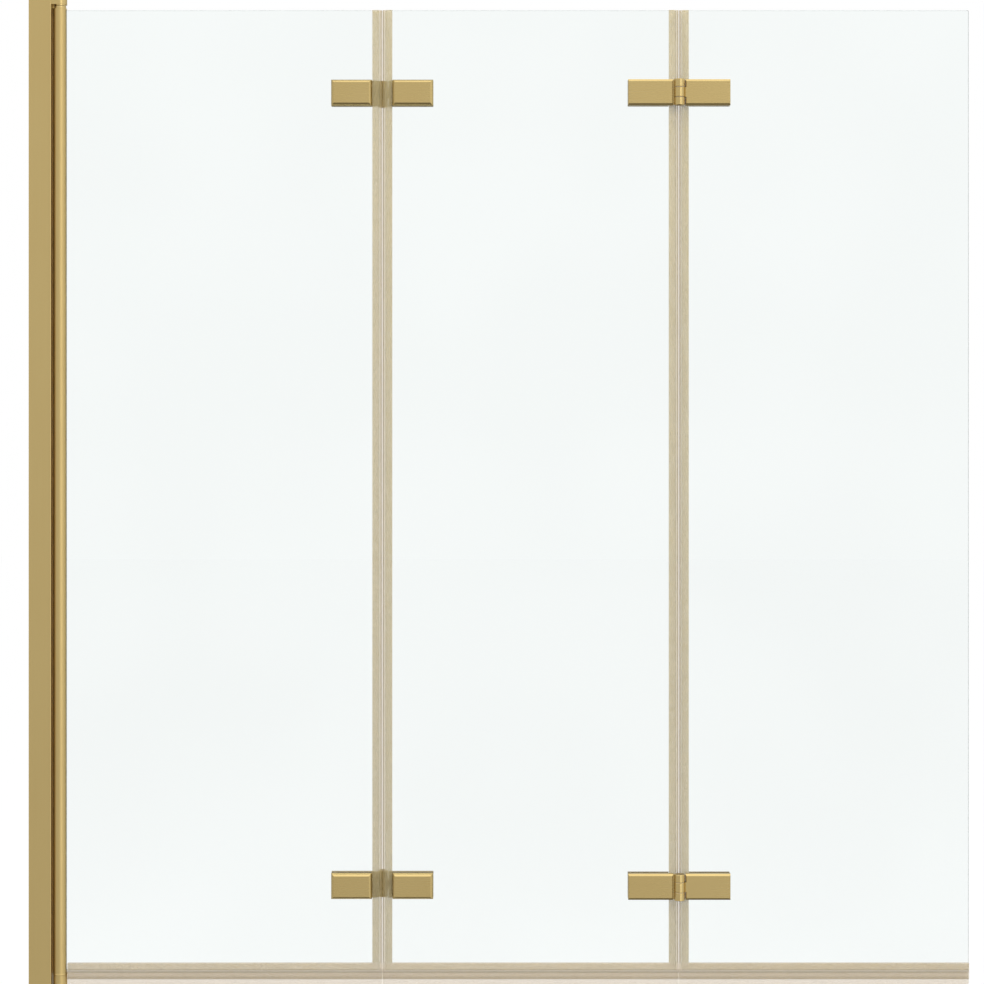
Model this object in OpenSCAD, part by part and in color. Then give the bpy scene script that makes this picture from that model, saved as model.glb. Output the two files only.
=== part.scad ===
// Folding bath screen with three glass panels, a wall profile and a pivot tube.
// Millimetres. The wall is the plane x = 0, the glass stands in the plane y = 0,
// the viewer stands at -Y, and z = 0 is the rim that the screen stands over.

/* [Screen] */
// Height of the wall profile with its end plates
screen_height = 1400; // [1200:10:1600]
// Distance from the wall to the first folding seam
first_panel_w = 487.9; // [420:0.1:560]
// Distance between the two folding seams
second_panel_w = 410.6; // [402:0.1:480]
// Distance from the second folding seam to the free edge
third_panel_w = 401.5; // [300:0.1:405]

/* [Glass] */
// Thickness of the glass
glass_t = 6; // [5:0.5:8]
// Gap from the middle of a seam to each glass edge
seam_half_gap = 4; // [3.5:0.25:6]
// Height of the lower glass edge above the lower end of the pivot tube
glass_lift = 4.1; // [3.6:0.1:10]
// Depth of the upper glass edge below the upper end of the pivot tube
glass_drop = 2.4; // [1.6:0.1:8]
// Width of the polished bevel along the glass edges
glass_arris = 0.6; // [0.2:0.1:1.5]
// Radius of the glass corners
glass_corner_r = 3; // [1:0.5:10]
// Diameter of the holes in the glass for the hinge screws
glass_hole_d = 12; // [10:0.5:15]

/* [Wall profile] */
// Width of the profile that shows beside the wall
profile_w = 31; // [28:0.2:45]
// Depth of the profile, across the glass
profile_depth = 20; // [20:0.5:28]
// Thickness of the profile's side walls
profile_wall = 1.6; // [1.2:0.1:2.4]
// Thickness of the profile's front wall
profile_front_t = 1.8; // [1.4:0.1:2.6]
// Radius of the profile's outer corners
profile_corner_r = 0.8; // [0.5:0.1:3]
// Thickness of the wall channel's walls
channel_wall = 2; // [1.5:0.1:3]
// Diameter of the holes for the wall screws
wall_hole_d = 5.2; // [4:0.1:6.5]
// Number of wall screw holes
wall_hole_count = 4; // [3:1:6]
// Distance from each end of the profile to the nearest wall screw hole
wall_hole_end = 100; // [60:5:160]
// Diameter of the bores in the screw ports
port_bore_d = 3.4; // [2.8:0.1:4]
// Wall thickness of the screw ports
port_wall = 1.5; // [1.2:0.1:2]
// Distance of the screw ports from the profile's front face
port_inset = 7.2; // [6:0.1:9]
// Diameter of the side screws that clamp the profile to the channel
side_screw_d = 3.9; // [3:0.1:5]
// Number of side screws
side_screw_count = 3; // [2:1:5]
// Distance from each end of the profile to the nearest side screw
side_screw_end = 150; // [80:5:250]
// Diameter of the side screws' heads
side_head_d = 7.4; // [6:0.1:8]
// Height of the side screws' heads
side_head_h = 2.4; // [1.5:0.1:3]
// Length of a side screw inside the channel's wall
side_screw_tip = 2; // [1:0.5:6]
// Diameter of the caps over the side screws
side_cap_d = 13; // [12:0.5:15]
// Thickness of those caps over the screw heads
side_cap_t = 0.9; // [0.8:0.1:2]

/* [Pivot tube] */
// Outer diameter of the pivot tube
tube_d = 19.2; // [18.8:0.2:22]
// Gap between the wall profile and the pivot tube
tube_gap = 1.2; // [1.1:0.1:3]
// Wall thickness of the pivot tube
tube_wall = 1.7; // [1.3:0.1:2.2]
// Distance from the tube's axis to the floor of the glass slot
slot_floor = 0.5; // [0:0.1:1.5]
// Thickness of the gasket between tube and glass
slot_gasket_t = 1.2; // [0.8:0.1:1.6]
// Thickness of the tube's lips at the mouth of the slot
slot_lip_t = 0.8; // [0.5:0.1:1.2]
// Height of the tube's top cap above the tube
top_cap_h = 3.3; // [2.5:0.1:6]
// Diameter of that cap, narrower than the tube
top_cap_d = 16; // [14:0.2:18]
// Height of the tube's bottom cap below the tube
bottom_cap_h = 17.4; // [10:0.1:22]
// Height of the bead round the top of the bottom cap
cap_bead_h = 1.8; // [1:0.1:3]
// Distance that the bead stands proud of the tube
cap_bead = 0.5; // [0.2:0.05:0.6]
// Length of the caps' spigots in the hollow of the tube
cap_spigot = 12; // [8:1:20]

/* [Brackets] */
// Thickness of the brackets' end plates
end_plate_t = 4; // [3:0.5:6]
// Height of the top bracket's nose
top_nose_h = 28.6; // [20:0.1:34]
// Height of the bottom bracket's nose
bottom_nose_h = 12; // [11:0.5:16]
// Width of the brackets' noses
nose_w = 18.6; // [16:0.2:18.8]
// Depth of the locating tongue under each end plate
tongue_h = 8; // [5:1:15]
// Diameter of the heads of the screws in the end plates
end_head_d = 7; // [6:0.1:8]
// Length of those screws inside the screw ports
end_screw_bite = 14; // [8:1:30]
// Outer diameter of the pivot bushes
bush_d = 9.4; // [8.8:0.2:12]
// Diameter of the bushes' flanges
bush_flange_d = 15.6; // [13:0.2:16.4]
// Thickness of the bushes' flanges
bush_flange_t = 1.3; // [1:0.1:2.5]
// Diameter of the pivot pins
pivot_pin_d = 6; // [5:0.1:7]
// Thickness of the tube caps round the pivot pins
pivot_pin_wall = 2; // [1.5:0.1:2.5]
// Length of the top pivot pin inside its bracket
top_pin_reach = 15; // [8:1:17]
// Length of the bottom pivot pin inside its bracket
bottom_pin_reach = 7; // [5:0.5:8]

/* [Seals] */
// Wall thickness of the seal strips
seal_wall = 1.2; // [0.8:0.1:1.4]
// Width of glass that a seam seal's clip covers
seam_clip = 9.8; // [7:0.1:10]
// Wall thickness of the soft bulb at a seam
bulb_wall = 0.8; // [0.5:0.1:1]
// Height of glass that a bottom seal's clip covers
bottom_clip = 10; // [8:0.5:20]
// Thickness of the floor under the glass in a bottom seal
bottom_floor_t = 2.8; // [1:0.1:3.5]
// Height of the hollow chamber under that floor
chamber_h = 6.8; // [4:0.1:10]
// Height of the lowest fin above the rim
rim_clear = 1.5; // [0.5:0.5:6]
// Thickness of the bottom fins
fin_t = 0.9; // [0.6:0.1:1.4]
// Distance that the front fin leans out
front_fin_lean = 3.4; // [2:0.2:4]
// Distance that the rear fin leans out
rear_fin_lean = 2.6; // [1:0.2:4]
// Height of the rear fin's tip above the front fin's tip
rear_fin_rise = 8; // [0:0.5:12]

/* [Hinges] */
// Height of a hinge
hinge_h = 36; // [32:1:60]
// Distance from the seam to the outer edge of a hinge
hinge_reach = 70.5; // [66:0.5:90]
// Depth of the top hinges' middle below the upper glass edge
hinge_top_inset = 114.7; // [60:0.1:300]
// Height of the bottom hinges' middle above the lower glass edge
hinge_bottom_inset = 117.4; // [60:0.1:300]
// Thickness of a hinge leaf
leaf_t = 8.2; // [8:0.1:12]
// Diameter of the hinge barrel
barrel_d = 14.6; // [13:0.2:15.4]
// Gap between the barrel and the leaves' plates
barrel_gap = 1.2; // [0.8:0.1:3]
// Height of the middle knuckle
mid_knuckle_h = 13.4; // [8:0.2:18]
// Thickness of the washers between the knuckles
washer_t = 0.4; // [0.3:0.1:1]
// Diameter of the hinge pins
hinge_pin_d = 5.5; // [4:0.5:7]
// Depth of the hinge pins' ends inside the barrel
pin_recess = 0.6; // [0.3:0.1:2]
// Distance that the leaves stand proud of the hinge axis, which stops the fold
fold_stop = 0.2; // [0:0.05:0.2]
// Thickness of the gaskets between hinge and glass
hinge_gasket_t = 1; // [0.6:0.1:1.5]
// Width of the bevels along the leaves
bevel_w = 2.8; // [1:0.1:6]
// Depth of the bevels along the leaves
bevel_d = 2; // [1:0.1:3]
// Width of the small bevel on a leaf's ends
end_bevel = 1.2; // [0.5:0.1:2]
// Thickness of a cover
cover_t = 6; // [5.6:0.1:9]
// Wall thickness of a cover
cover_wall = 1.6; // [1.4:0.1:1.8]
// Height of a cover's upright sides above the gasket
cover_side_h = 1.6; // [1.2:0.1:2.4]
// Distance that a cover's flanks would lean in over the rest of its thickness
cover_lean = 2.6; // [1:0.1:2.8]
// Width of the bevels round a cover's face, measured from its outline
cover_bevel_w = 3.8; // [3.6:0.1:6]
// Depth of the bevels round a cover's face, measured at its outline
cover_bevel_d = 3; // [2:0.1:3.4]
// Thickness of the clamp plates under the covers
clamp_t = 3.4; // [3:0.1:3.6]
// Diameter of the clamp screws
clamp_screw_d = 6; // [4:0.5:6]
// Diameter of the clamp screws' heads
clamp_head_d = 11.4; // [9:0.2:12]
// Distance from the seam to the nearer clamp screw
screw_near = 30; // [27:1:36]
// Distance from the seam to the farther clamp screw
screw_far = 54; // [48:1:56]
// Length of a clamp screw inside the leaf
screw_bite = 5.5; // [3:0.5:6]
// Diameter of the clamp screws' hexagon sockets, across the corners
socket_d = 4.6; // [3:0.1:5.5]
// Depth of those sockets
socket_depth = 1.6; // [1:0.1:2.4]
// Space between a leaf and the seal that it bridges
bridge_gap = 0.8; // [0.3:0.1:1.5]
// Gap from a seam seal's clip to the covers and gaskets beside it
cover_gap = 0.5; // [0.3:0.1:1.5]

/* [Fits] */
// Radial clearance of a pin that turns in its hole
run_fit = 0.05; // [0.02:0.01:0.1]
// Radial clearance of a piece that is pressed in place
snug_fit = 0.02; // [0:0.01:0.05]
// Radial clearance of a clamp screw in the plate and gasket that it passes through
screw_play = 0.2; // [0.1:0.05:0.5]
// Clearance between wall channel and wall profile
slide_fit = 0.4; // [0.2:0.1:1]
// Clearance beside a soft piece or a moving face
part_gap = 0.3; // [0.1:0.05:0.5]
// Clearance along a turning axis
end_play = 0.1; // [0.05:0.05:0.2]
// Gap from the middle of a seam to the soft seals on each side
seam_play = 0.2; // [0.15:0.05:0.5]

/* [Hidden] */
$fn = 48;

brass = "#b8a56d";
pvc = "#c6bca5";
nylon = "#e9e6de";
steel = "#b9bcc0";
rubber = "#6f6a60";
glass_tint = [0.82, 0.92, 0.89, 0.45];

// Over-run of a cut past the face that it opens
cut = 1;
LEFT = -1;
RIGHT = 1;

FIN_FACETS = 160;

// Stack of heights, from the rim up
tube_z0 = bottom_nose_h + bush_flange_t + end_play + bottom_cap_h;
tube_z1 = screen_height - top_nose_h - bush_flange_t - part_gap - top_cap_h;
glass_z0 = tube_z0 + glass_lift;
glass_z1 = tube_z1 - glass_drop;
clip_top = glass_z0 + bottom_clip;
chamber_z1 = glass_z0 - bottom_floor_t;
chamber_z0 = chamber_z1 - chamber_h;
hinge_top_z = glass_z1 - hinge_top_inset;
hinge_bottom_z = glass_z0 + hinge_bottom_inset;
HINGE_LEVELS = [hinge_bottom_z, hinge_top_z];

// Places along the screen, from the wall
tube_r = tube_d / 2;
axis_x = profile_w + tube_gap + tube_r;
seam_1 = first_panel_w;
seam_2 = first_panel_w + second_panel_w;
free_edge = seam_2 + third_panel_w;

// Section of the wall profile
profile_half = profile_depth / 2;
profile_inner = profile_half - profile_wall;
port_r = port_bore_d / 2 + port_wall;
port_x = profile_w - port_inset;
port_y = profile_inner - port_r + profile_wall / 2;
channel_half = profile_inner - slide_fit;
channel_leg = port_x - port_r - part_gap;
channel_return = 1.2;
side_screw_x = (channel_wall + channel_leg) / 2;
side_head_edge = 0.8;
side_cap_h = side_head_h + part_gap + side_cap_t;
side_cap_edge = 1.4;
centre_groove = 0.6;

// T-slot in the front of the wall profile and the wiper in it
wiper_neck = 2;
wiper_foot = 4.8;
wiper_foot_t = 1.6;
wiper_head = 3;
wiper_bead_r = (tube_gap - part_gap) / 2;
slot_wall = 1.6;
wiper_x = profile_w - profile_front_t;

// Brackets
end_head_h = (end_head_d - port_bore_d) / 2;
tongue_y = channel_half - channel_wall - channel_return - part_gap;
tongue_corner = 1.5;

// Section of the pivot tube
slot_half = glass_t / 2 + slot_gasket_t;
tube_mouth = sqrt(pow(tube_r, 2) - pow(slot_half + slot_lip_t, 2));
tube_web = slot_floor - tube_wall;
cap_boss_r = pivot_pin_d / 2 + pivot_pin_wall;
cap_edge = 0.4;
gasket_bead = 0.3;

// Bevels and insets of small pieces
pin_edge = 0.5;
knuckle_edge = 0.5;
plate_edge = 0.6;
gasket_inset = 0.5;

// Hinge depths from the middle of the glass, on the barrel's side and on the cover's side
pad_y = glass_t / 2 + hinge_gasket_t;
leaf_y = pad_y + leaf_t;
hinge_y = leaf_y - fold_stop;
barrel_r = barrel_d / 2;
plate_s = barrel_r + barrel_gap;
seal_s = seam_half_gap + seam_clip;
cover_s = seal_s + cover_gap;
seal_y = glass_t / 2 + seal_wall;
recess_y = seal_y + bridge_gap;
knuckle_gap = washer_t + end_play;
outer_knuckle_h = (hinge_h - mid_knuckle_h) / 2 - knuckle_gap;
SCREW_PLACES = [screw_near, screw_far];
collar_d = glass_hole_d - 2 * part_gap;
screw_pass_d = clamp_screw_d + 2 * screw_play;
clamp_inset = cover_wall + part_gap;
cover_flank = [cover_lean, cover_t - cover_side_h];
cover_bevel = [cover_bevel_w, cover_bevel_d];
cover_hollow = [cover_wall, cover_wall];
washer_r = barrel_r - knuckle_edge - part_gap;
web_step = 2;
web_reach = barrel_r / 3;
ramp_angle = 30;

// Ends of each panel that carry hinges, as seam and side
PANEL_1_ENDS = [[1, LEFT]];
PANEL_2_ENDS = [[1, RIGHT], [2, LEFT]];
PANEL_3_ENDS = [[2, RIGHT]];

// Solid over a section drawn in X and Y, between two heights
module along_z(from, to) {
    translate([0, 0, from]) linear_extrude(to - from) children();
}

// Solid over a section drawn in Y and Z, between two distances from the wall
module along_x(from, to) {
    translate([from, 0, 0]) rotate([90, 0, 90]) linear_extrude(to - from) children();
}

// Rectangle from one corner to the other
module span(x0, y0, x1, y1) {
    translate([x0, y0]) square([x1 - x0, y1 - y0]);
}

// Rectangle with four round corners
module round_span(x0, y0, x1, y1, r) {
    span(x0 + r, y0, x1 - r, y1);
    span(x0, y0 + r, x1, y1 - r);
    for (x = [x0 + r, x1 - r], y = [y0 + r, y1 - r]) translate([x, y]) circle(r);
}

// Cylinder along Y between two depths, for a hole or a shank
module hole_y(x, z, d, from, to) {
    translate([x, from, z]) rotate([-90, 0, 0]) cylinder(d = d, h = to - from);
}

// Places what is drawn about a hinge in front of (seam 2) or behind (seam 1) the glass
module at_seam(seam) {
    if (seam == 1) translate([seam_1, 0, 0]) children();
    else translate([seam_2, 0, 0]) mirror([0, 1, 0]) children();
}

// Turns what is drawn on the right of a seam to the given side
module to_side(side) {
    if (side == RIGHT) children();
    else mirror([1, 0, 0]) children();
}

// ---- Wall profile ----

// Outline of the wall profile: round corners away from the wall
module profile_outline() {
    span(0, -profile_half, profile_w - profile_corner_r, profile_half);
    span(0, -profile_half + profile_corner_r, profile_w, profile_half - profile_corner_r);
    for (side = [-1, 1])
        translate([profile_w - profile_corner_r, side * (profile_half - profile_corner_r)])
            circle(profile_corner_r);
}

// T-shaped recess that holds the wiper
module wiper_slot(clear) {
    foot_x0 = wiper_x - wiper_foot_t;
    span(foot_x0 - clear, -wiper_foot / 2 - clear, wiper_x + clear, wiper_foot / 2 + clear);
    span(wiper_x, -wiper_neck / 2 - clear, profile_w + cut, wiper_neck / 2 + clear);
}

module carrier_section() {
    boss_x = wiper_x - wiper_foot_t - slot_wall;
    difference() {
        union() {
            difference() {
                profile_outline();
                span(-cut, -profile_inner, wiper_x, profile_inner);
            }
            span(boss_x, -wiper_foot / 2 - slot_wall, profile_w - cut, wiper_foot / 2 + slot_wall);
            for (side = [-1, 1]) translate([port_x, side * port_y]) circle(port_r);
        }
        wiper_slot(part_gap / 2);
        for (side = [-1, 1]) translate([port_x, side * port_y]) circle(d = port_bore_d);
    }
}

module wall_channel_section() {
    difference() {
        span(0, -channel_half, channel_leg, channel_half);
        span(channel_wall, -channel_half + channel_wall, channel_leg - channel_return,
            channel_half - channel_wall);
        span(channel_wall, -channel_half + channel_wall + channel_return, channel_leg + cut,
            channel_half - channel_wall - channel_return);
        polygon([
            [channel_wall + cut, -centre_groove - cut],
            [channel_wall - centre_groove, 0],
            [channel_wall + cut, centre_groove + cut]
        ]);
    }
}

// Heights of evenly spaced fixings along the wall profile
function fixing_heights(count, end) =
    [for (i = [0 : count - 1]) end + i * (screen_height - 2 * end) / (count - 1)];

WALL_HOLES = fixing_heights(wall_hole_count, wall_hole_end);
SIDE_SCREWS = fixing_heights(side_screw_count, side_screw_end);

module wall_channel() {
    color(brass) difference() {
        along_z(end_plate_t, screen_height - end_plate_t) wall_channel_section();
        for (z = WALL_HOLES)
            translate([-cut, 0, z]) rotate([0, 90, 0]) cylinder(d = wall_hole_d, h = channel_wall + 2 * cut);
        for (z = SIDE_SCREWS)
            hole_y(side_screw_x, z, side_screw_d + 2 * snug_fit, channel_half - channel_wall - cut,
                channel_half + cut);
    }
}

module carrier_profile() {
    color(brass) difference() {
        along_z(end_plate_t, screen_height - end_plate_t) carrier_section();
        for (z = SIDE_SCREWS)
            hole_y(side_screw_x, z, side_screw_d + 2 * snug_fit, profile_inner - cut, profile_half + cut);
    }
}

// Screws that clamp profile and channel together, with domed heads
module side_screws() {
    tip_y = channel_half - channel_wall - side_screw_tip;
    color(steel) for (z = SIDE_SCREWS) {
        hole_y(side_screw_x, z, side_screw_d, tip_y, profile_half + cut);
        translate([side_screw_x, profile_half, z]) rotate([-90, 0, 0])
            rotate_extrude() polygon([
                [0, 0],
                [side_head_d / 2, 0],
                [side_head_d / 2, side_head_h - side_head_edge],
                [side_head_d / 2 - side_head_edge, side_head_h],
                [0, side_head_h]
            ]);
    }
}

// Round covers over the heads of the side screws
module side_screw_caps() {
    cap_r = side_cap_d / 2;
    roof_y = side_head_h + part_gap;
    color(brass) for (z = SIDE_SCREWS)
        translate([side_screw_x, profile_half, z]) rotate([-90, 0, 0])
            rotate_extrude() polygon([
                [side_head_d / 2 + part_gap, 0],
                [cap_r, 0],
                [cap_r, side_cap_h - side_cap_edge],
                [cap_r - side_cap_edge, side_cap_h],
                [0, side_cap_h],
                [0, roof_y],
                [side_head_d / 2 + part_gap, roof_y]
            ]);
}

// Soft strip that closes the gap to the pivot tube; below the tube only its foot and neck go on
module pivot_wiper() {
    head_x = axis_x - tube_r - part_gap;
    color(rubber) {
        along_z(bottom_nose_h, tube_z1) {
            span(wiper_x - wiper_foot_t, -wiper_foot / 2, wiper_x, wiper_foot / 2);
            span(wiper_x - cut, -wiper_neck / 2, profile_w, wiper_neck / 2);
        }
        along_z(tube_z0, tube_z1) {
            span(wiper_x, -wiper_neck / 2, head_x, wiper_neck / 2);
            round_span(profile_w, -wiper_head / 2, head_x, wiper_head / 2, wiper_bead_r);
        }
    }
}

// ---- Brackets and pivots ----

// Outline of a bracket's nose, round about the pivot axis
module nose_outline() {
    span(profile_w, -nose_w / 2, axis_x, nose_w / 2);
    translate([axis_x, 0]) circle(d = nose_w);
}

// A bracket drawn as the bottom one: end plate, nose, locating tongue and holes
module bracket(nose_h, bore_depth) {
    difference() {
        union() {
            along_z(0, end_plate_t) profile_outline();
            along_z(0, nose_h) nose_outline();
            along_z(0, end_plate_t) span(profile_w - 2 * cut, -nose_w / 2, axis_x, nose_w / 2);
            along_z(end_plate_t - cut, end_plate_t + tongue_h)
                round_span(channel_wall + part_gap, -tongue_y, channel_leg - channel_return, tongue_y,
                    tongue_corner);
        }
        translate([axis_x, 0, nose_h - bore_depth]) cylinder(d = bush_d + 2 * snug_fit, h = bore_depth + cut);
        for (side = [-1, 1]) translate([port_x, side * port_y, 0]) {
            translate([0, 0, -cut]) cylinder(d = port_bore_d, h = end_plate_t + 2 * cut);
            cylinder(d1 = end_head_d, d2 = port_bore_d, h = end_head_h);
            translate([0, 0, -cut]) cylinder(d = end_head_d, h = cut);
        }
    }
}

// Turns what is drawn at the bottom end to the top end
module at_top_end() {
    translate([0, 0, screen_height]) mirror([0, 0, 1]) children();
}

module bottom_bracket() {
    color(brass) bracket(bottom_nose_h, bottom_pin_reach + cut);
}

// Top bracket, with a rib at the back that closes the space beside the narrow cap
module top_bracket() {
    color(brass) at_top_end() {
        bracket(top_nose_h, top_pin_reach + cut);
        along_z(top_nose_h - cut, top_nose_h + bush_flange_t + top_cap_h)
            span(profile_w, 0, axis_x - top_cap_d / 2 - part_gap, nose_w / 2);
    }
}

// Flanged bush in a nose, for a pin that reaches in to the given depth
module bush(nose_h, depth) {
    translate([axis_x, 0, nose_h]) difference() {
        union() {
            translate([0, 0, -depth]) cylinder(d = bush_d, h = depth + cut / 2);
            cylinder(d = bush_flange_d, h = bush_flange_t);
        }
        translate([0, 0, -depth - cut])
            cylinder(d = pivot_pin_d + 2 * run_fit, h = depth + bush_flange_t + 2 * cut);
    }
}

module bottom_bush() {
    color(brass) bush(bottom_nose_h, bottom_pin_reach);
}

module top_bush() {
    color(brass) at_top_end() bush(top_nose_h, top_pin_reach);
}

// Countersunk screws from the end plates into the screw ports
module end_screws() {
    for (side = [-1, 1]) translate([port_x, side * port_y, 0]) {
        cylinder(d1 = end_head_d, d2 = port_bore_d, h = end_head_h);
        cylinder(d = port_bore_d - 2 * snug_fit, h = end_plate_t + end_screw_bite);
    }
}

module bracket_screws() {
    color(steel) {
        end_screws();
        at_top_end() end_screws();
    }
}

// ---- Pivot tube ----

// Places what is drawn about the pivot axis
module at_pivot() {
    translate([axis_x, 0, 0]) children();
}

// Hollow of the tube on the side away from the glass
module tube_hollow(clear) {
    intersection() {
        circle(tube_r - tube_wall - clear);
        span(-tube_d, -tube_d, tube_web - clear, tube_d);
    }
}

module tube_section() {
    difference() {
        intersection() {
            circle(tube_r);
            span(-tube_d, -tube_d, tube_mouth, tube_d);
        }
        span(slot_floor, -slot_half, tube_d, slot_half);
        tube_hollow(0);
    }
}

module pivot_tube() {
    bore_r = cap_boss_r + snug_fit;
    color(brass) at_pivot() difference() {
        along_z(tube_z0, tube_z1) tube_section();
        translate([0, 0, tube_z0 - cut]) cylinder(r = bore_r, h = glass_lift - part_gap + cut);
        translate([0, 0, tube_z1 - glass_drop + part_gap]) cylinder(r = bore_r, h = glass_drop + cut);
    }
}

// End cap drawn as the bottom one: a round head below z = 0, spigots in the tube above it
module tube_cap(head_r, head_h, insert_h) {
    difference() {
        union() {
            translate([0, 0, -head_h]) rotate_extrude() polygon([
                [0, 0],
                [head_r - cap_edge, 0],
                [head_r, cap_edge],
                [head_r, head_h - cap_edge],
                [head_r - cap_edge, head_h],
                [0, head_h]
            ]);
            translate([0, 0, -cut]) cylinder(r = cap_boss_r, h = insert_h + cut);
            along_z(-cut, insert_h)
                span(0, -slot_half + snug_fit, tube_mouth - cap_edge, slot_half - snug_fit);
            along_z(-cut, cap_spigot) tube_hollow(snug_fit);
        }
        translate([0, 0, -head_h - cut])
            cylinder(d = pivot_pin_d + 2 * snug_fit, h = head_h + insert_h + 2 * cut);
    }
}

// Bead round the top of the bottom cap, bevelled above and below
module cap_bead_ring() {
    rotate_extrude() polygon([
        [tube_r - cap_bead, -cap_bead_h],
        [tube_r, -cap_bead_h],
        [tube_r + cap_bead, -cap_bead_h / 2],
        [tube_r, 0],
        [tube_r - cap_bead, 0]
    ]);
}

module tube_bottom_cap() {
    color(brass) at_pivot() translate([0, 0, tube_z0]) {
        tube_cap(tube_r, bottom_cap_h, glass_lift - 2 * part_gap);
        cap_bead_ring();
    }
}

module tube_top_cap() {
    color(brass) at_pivot() translate([0, 0, tube_z1]) mirror([0, 0, 1])
        tube_cap(top_cap_d / 2, top_cap_h, glass_drop - 2 * part_gap);
}

// Steel pin between two heights, with bevelled ends
module round_pin(d, from, to) {
    rotate_extrude() polygon([
        [0, from],
        [d / 2 - pin_edge, from],
        [d / 2, from + pin_edge],
        [d / 2, to - pin_edge],
        [d / 2 - pin_edge, to],
        [0, to]
    ]);
}

module bottom_pivot_pin() {
    color(steel) at_pivot()
        round_pin(pivot_pin_d, bottom_nose_h - bottom_pin_reach, glass_z0 - 2 * part_gap);
}

module top_pivot_pin() {
    color(steel) at_pivot()
        round_pin(pivot_pin_d, glass_z1 + 2 * part_gap, screen_height - top_nose_h + top_pin_reach);
}

// U-shaped gasket round the first panel's inner edge, with a bead along each lip
module tube_gasket() {
    glass_half = glass_t / 2;
    color(rubber) at_pivot() along_z(glass_z0, glass_z1) {
        span(slot_floor, -slot_half, slot_floor + slot_gasket_t, slot_half);
        for (side = [-1, 1]) mirror([0, side < 0 ? 1 : 0]) {
            span(slot_floor, glass_half, tube_mouth + gasket_bead, slot_half);
            polygon([
                [tube_mouth, glass_half],
                [tube_mouth + 2 * gasket_bead, glass_half],
                [tube_mouth + gasket_bead, slot_half + gasket_bead],
                [tube_mouth, slot_half + gasket_bead]
            ]);
        }
    }
}

// ---- Glass ----

// Outline of a strip with both long edges bevelled on both faces
module bevelled_bar(from, to, half, bevel) {
    polygon([
        [from, -half + bevel], [from + bevel, -half], [to - bevel, -half], [to, -half + bevel],
        [to, half - bevel], [to - bevel, half], [from + bevel, half], [from, half - bevel]
    ]);
}

// Glass sheet between two distances from the wall, with holes at the listed distances
module glass_sheet(from, to, holes) {
    half = glass_t / 2;
    difference() {
        intersection() {
            along_z(glass_z0, glass_z1) bevelled_bar(from, to, half, glass_arris);
            along_x(from, to) rotate(90) mirror([0, 1]) bevelled_bar(glass_z0, glass_z1, half, glass_arris);
            translate([0, half + cut, 0]) rotate([90, 0, 0]) linear_extrude(glass_t + 2 * cut)
                round_span(from, glass_z0, to, glass_z1, glass_corner_r);
        }
        for (x = holes, z = HINGE_LEVELS) hole_y(x, z, glass_hole_d, -half - cut, half + cut);
    }
}

function holes_left_of(seam_x) = [for (s = SCREW_PLACES) seam_x - s];
function holes_right_of(seam_x) = [for (s = SCREW_PLACES) seam_x + s];

module glass_1() {
    color(glass_tint)
        glass_sheet(axis_x + slot_floor + slot_gasket_t, seam_1 - seam_half_gap, holes_left_of(seam_1));
}

module glass_2() {
    color(glass_tint) glass_sheet(seam_1 + seam_half_gap, seam_2 - seam_half_gap,
        concat(holes_right_of(seam_1), holes_left_of(seam_2)));
}

module glass_3() {
    color(glass_tint) glass_sheet(seam_2 + seam_half_gap, free_edge, holes_right_of(seam_2));
}

// ---- Seals ----

// Section of a seam seal on the right of the seam: clip, web and soft half bulb
module seam_seal_section() {
    web_s = seam_half_gap - seal_wall;
    bulb_r = web_s - seam_play;
    tip = seal_wall / 2;
    difference() {
        span(web_s, -seal_y, seal_s - tip, seal_y);
        span(seam_half_gap, -glass_t / 2, seal_s, glass_t / 2);
    }
    for (side = [-1, 1]) translate([seal_s - tip, side * (seal_y - tip)]) circle(tip);
    difference() {
        translate([web_s, 0]) circle(bulb_r);
        translate([web_s, 0]) circle(bulb_r - bulb_wall);
        span(seam_half_gap, -bulb_r - cut, seam_half_gap + bulb_r + cut, bulb_r + cut);
    }
}

module seam_seal(seam, side) {
    color(pvc) at_seam(seam) to_side(side) along_z(clip_top + part_gap, glass_z1) seam_seal_section();
}

// Curved fin in the Y and Z plane: leaves the chamber straight down and leans out by the given distance
module fin(root_y, tip_z, lean) {
    drop = chamber_z0 - tip_z;
    r = (pow(drop, 2) + pow(lean, 2)) / (2 * lean);
    intersection() {
        difference() {
            translate([root_y - r, chamber_z0]) circle(r + fin_t / 2, $fn = FIN_FACETS);
            translate([root_y - r, chamber_z0]) circle(r - fin_t / 2, $fn = FIN_FACETS);
        }
        span(root_y - 2 * lean - fin_t, tip_z, root_y + fin_t, chamber_z0 + bottom_floor_t / 2);
    }
}

module bottom_seal_section() {
    tip = seal_wall / 2;
    fin_y = seal_y - fin_t - part_gap;
    difference() {
        span(-seal_y, chamber_z0, seal_y, clip_top - tip);
        span(-glass_t / 2, glass_z0, glass_t / 2, clip_top);
        span(-seal_y + seal_wall, chamber_z0 + seal_wall, seal_y - seal_wall, chamber_z1);
    }
    for (side = [-1, 1]) translate([side * (seal_y - tip), clip_top - tip]) circle(tip);
    fin(-fin_y, rim_clear, front_fin_lean);
    mirror([1, 0]) fin(-fin_y, rim_clear + rear_fin_rise, rear_fin_lean);
}

module bottom_seal(from, to) {
    color(pvc) along_x(from, to) bottom_seal_section();
}

// ---- Hinges ----

// Outline of a plate that is bevelled at its outer face
module plate_outline(from, to, y0, y1, start, end) {
    polygon([
        [from, y0], [to, y0], [to, y1 - end[1]], [to - end[0], y1],
        [from + start[0], y1], [from, y1 - start[1]]
    ]);
}

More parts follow.
